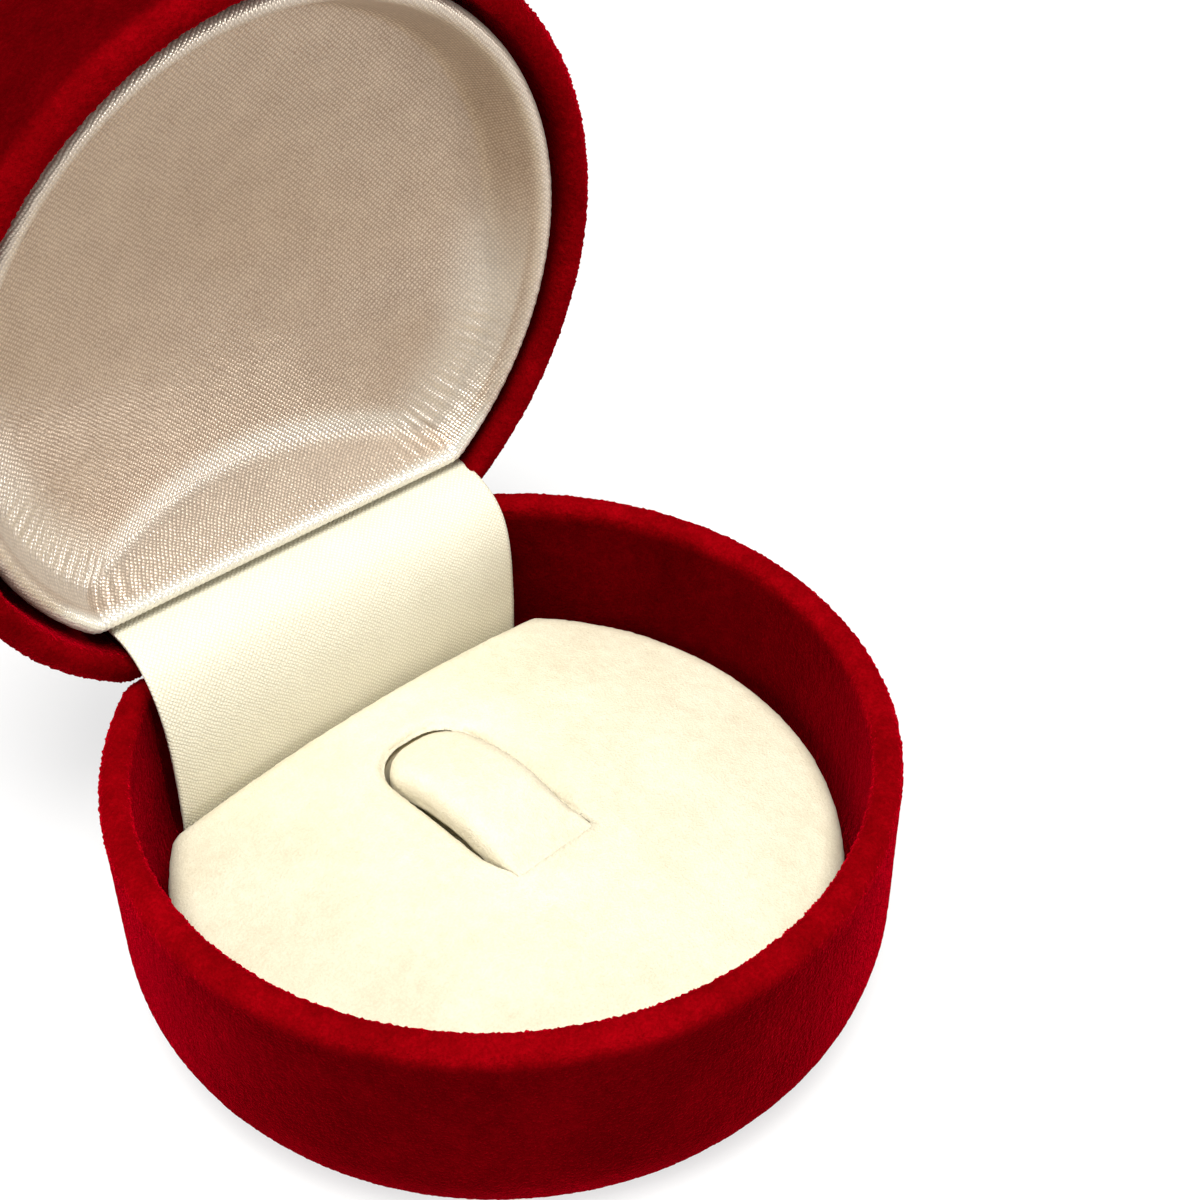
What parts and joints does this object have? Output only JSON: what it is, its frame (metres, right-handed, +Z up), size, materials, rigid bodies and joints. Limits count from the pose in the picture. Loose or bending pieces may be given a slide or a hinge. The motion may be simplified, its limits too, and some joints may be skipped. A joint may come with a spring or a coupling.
{
  "type": "round jewelry gift box",
  "caption": "Round flocked ring box, standing open: red velvet base and hinged lid, domed ivory pad with a raised ring flap, dished satin lid lining and a satin strip over the hinge.",
  "frame": {"origin": "centre of the base's circle on its flat underside", "axes": "+Z up, +Y towards the hinge, -Y towards the front, X along the hinge axis"},
  "size_m": [0.0558, 0.0664, 0.0715],
  "materials": {
    "red_velvet": "flocked velvet over a plastic moulding",
    "red_velvet_lid": "flocked velvet over a plastic moulding",
    "grey_card": "matt",
    "liner_card": "matt",
    "white_foam": "open-cell foam",
    "tongue_foam": "open-cell foam",
    "ivory_velvet": "short flock",
    "tongue_velvet": "short flock",
    "ivory_satin": "woven satin",
    "gusset_satin": "woven satin",
    "steel_leaf": "zinc plated",
    "steel_leaf_lid": "zinc plated",
    "steel_pin": "bright drawn",
    "spring_steel": "blued spring steel",
    "rivet_steel": "zinc plated",
    "rivet_steel_lid": "zinc plated"
  },
  "bodies": {
    "base": {"base_shell": "red_velvet", "pad_board": "grey_card", "pad_foam": "white_foam", "pad_velvet": "ivory_velvet", "hinge_base_leaf": "steel_leaf", "base_rivets": "rivet_steel", "hinge_pin": "steel_pin", "hinge_spring": "spring_steel", "gusset_satin": "gusset_satin"},
    "lid": {"lid_shell": "red_velvet_lid", "liner_board": "liner_card", "liner_satin": "ivory_satin", "hinge_lid_leaf": "steel_leaf_lid", "lid_rivets": "rivet_steel_lid"},
    "ring_flap": {"tongue_foam": "tongue_foam", "tongue_velvet": "tongue_velvet"}
  },
  "joints": [
    {"name": "lid_hinge", "type": "hinge", "parent": "base", "child": "lid", "pos_m": [0, 0.02198, 0.02116], "axis": [1, 0, 0], "range_deg": [0, 86.4], "deforming": ["gusset_satin"]},
    {"name": "flap_bend", "type": "hinge", "parent": "base", "child": "ring_flap", "pos_m": [0, -0.0056, 0.01275], "axis": [1, 0, 0], "range_deg": [-5, 20], "stiffness_Nm_per_rad": 0.002}
  ]
}
